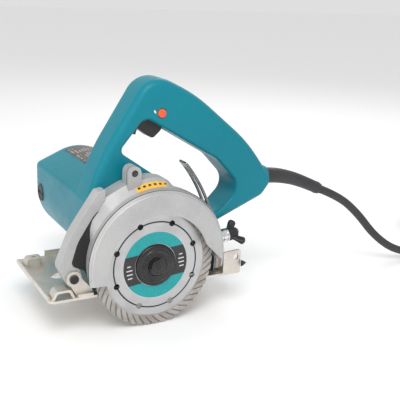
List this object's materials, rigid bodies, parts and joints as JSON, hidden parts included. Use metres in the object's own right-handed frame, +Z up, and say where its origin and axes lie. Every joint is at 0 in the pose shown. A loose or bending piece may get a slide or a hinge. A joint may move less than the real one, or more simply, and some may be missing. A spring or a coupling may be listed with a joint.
{
  "type": "wet tile saw",
  "caption": "Handheld wet tile saw: diamond blade in a half case on a gear housing and side motor, D-handle with trigger, on a tilting steel base with a curved depth guide and clamp.",
  "frame": {"origin": "on the sole (the base's underside), under the blade's axle, midway across the base", "axes": "+X to the rear handle, +Y from the blade to the motor's end, +Z up, away from the workpiece"},
  "size_m": [0.604, 0.1842, 0.1997],
  "materials": {
    "plated_steel": "bright zinc, slightly warm",
    "polished_steel": "polished",
    "cast_aluminium": "painted silver casting",
    "teal_moulding": "satin gloss moulding",
    "black_plastic": "fine matt",
    "dark_steel": "blackened",
    "blade_steel": "ground",
    "diamond_rim": "sintered, slanted turbo segments",
    "label_print": null,
    "button_red": "satin",
    "rubber_black": "matt",
    "copper": "enamelled winding",
    "brass": "plain",
    "electrical_steel": "laminated",
    "carbon": "graphite",
    "plate_print": null
  },
  "bodies": {
    "base": {"base_plate": "plated_steel", "front_pivot_bracket": "plated_steel", "pivot_pin": "dark_steel", "depth_guide": "polished_steel", "guide_bracket": "plated_steel", "guide_spacer": "plated_steel", "base_screws": "dark_steel", "power_cord": "rubber_black", "cord_coil": "rubber_black", "cord_tie": "black_plastic", "plug_body": "rubber_black", "plug_pins": "brass"},
    "saw": {"blade_case": "cast_aluminium", "gear_housing": "cast_aluminium", "inner_guard": "black_plastic", "motor_housing": "teal_moulding", "rear_cover": "teal_moulding", "field_stator": "electrical_steel", "field_coils": "copper", "fan_baffle": "black_plastic", "brush_caps": "black_plastic", "brush_holders": "brass", "carbon_brushes": "carbon", "ball_bearings": "polished_steel", "nameplate": "plate_print", "handle_near": "teal_moulding", "handle_far": "teal_moulding", "switch_body": "black_plastic", "clamp_bolt": "polished_steel", "clamp_sleeve": "polished_steel", "gasket": "rubber_black", "case_screws": "dark_steel", "handle_screws": "dark_steel", "cover_screws": "dark_steel", "cord_guard": "rubber_black", "cord_clamp": "black_plastic"},
    "spindle": {"blade_core": "blade_steel", "blade_rim": "diamond_rim", "blade_label": "label_print", "spindle": "polished_steel", "inner_flange": "dark_steel", "outer_flange": "dark_steel", "blade_bolt": "dark_steel", "drive_gear": "electrical_steel"},
    "armature": {"pinion": "electrical_steel", "armature_shaft": "polished_steel", "armature_core": "electrical_steel", "armature_windings": "copper", "commutator": "copper", "cooling_fan": "black_plastic"},
    "trigger": {"trigger": "black_plastic"},
    "lock_button": {"lock_button": "button_red"},
    "wing_nut": {"wing_nut": "black_plastic"}
  },
  "joints": [
    {"name": "depth_hinge", "type": "hinge", "parent": "base", "child": "saw", "pos_m": [-0.067, -0.038, 0.0165], "axis": [0, -1, 0], "range_deg": [0, 27]},
    {"name": "armature_spin", "type": "hinge", "parent": "saw", "child": "armature", "pos_m": [-0.0072, 0.047, 0.04648], "axis": [0, 1, 0], "continuous": true},
    {"name": "spindle_spin", "type": "hinge", "parent": "saw", "child": "spindle", "pos_m": [0, -0.053, 0.0215], "axis": [0, 1, 0], "continuous": true},
    {"name": "trigger_slide", "type": "slide", "parent": "saw", "child": "trigger", "axis": [0.5015, 0, 0.8651], "range_m": [0, 0.005], "stiffness_N_per_m": 600, "springref_m": -0.003},
    {"name": "button_slide", "type": "slide", "parent": "saw", "child": "lock_button", "axis": [0, 1, 0], "range_m": [0, 0.0025], "stiffness_N_per_m": 400, "springref_m": -0.002},
    {"name": "clamp_turn", "type": "hinge", "parent": "saw", "child": "wing_nut", "pos_m": [0.08212, -0.0363, 0.0327], "axis": [0.9942, 0, 0.108], "range_deg": [0, 180]}
  ],
  "couplings": [
    {"joint": "spindle_spin", "follows": "armature_spin", "ratio": -0.52941}
  ]
}
